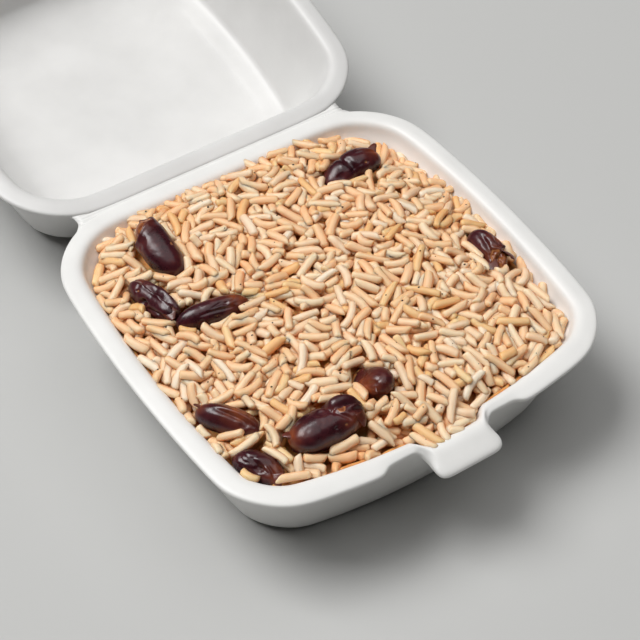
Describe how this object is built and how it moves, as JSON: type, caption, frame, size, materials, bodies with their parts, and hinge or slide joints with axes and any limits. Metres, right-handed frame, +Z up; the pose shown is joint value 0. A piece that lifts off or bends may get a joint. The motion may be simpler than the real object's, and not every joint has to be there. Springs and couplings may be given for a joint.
{
  "type": "rice and beans in a hinged foam box",
  "caption": "Open hinged foam food box filled with rice and cooked kidney beans, with a front tab and a lid that turns on its back edge.",
  "frame": {"origin": "centre of the tray's flat underside", "axes": "+Z up out of the tray, +X along the hinge to the right as seen from the front, +Y from the front tab to the hinge and the lid"},
  "size_m": [0.133, 0.2696, 0.0518],
  "materials": {
    "foam": "satin white expanded polystyrene foam",
    "rice": null,
    "bean": null
  },
  "bodies": {
    "tray": {"tray": "foam", "rice": "rice", "bean_1": "bean", "bean_2": "bean", "bean_3": "bean", "bean_4": "bean", "bean_5": "bean", "bean_6": "bean", "bean_7": "bean", "bean_8": "bean", "bean_9": "bean"},
    "lid": {"lid": "foam"}
  },
  "joints": [
    {"name": "lid_hinge", "type": "hinge", "parent": "tray", "child": "lid", "pos_m": [0, 0.0663, 0.0349], "axis": [1, 0, 0], "range_deg": [0, 172]}
  ]
}
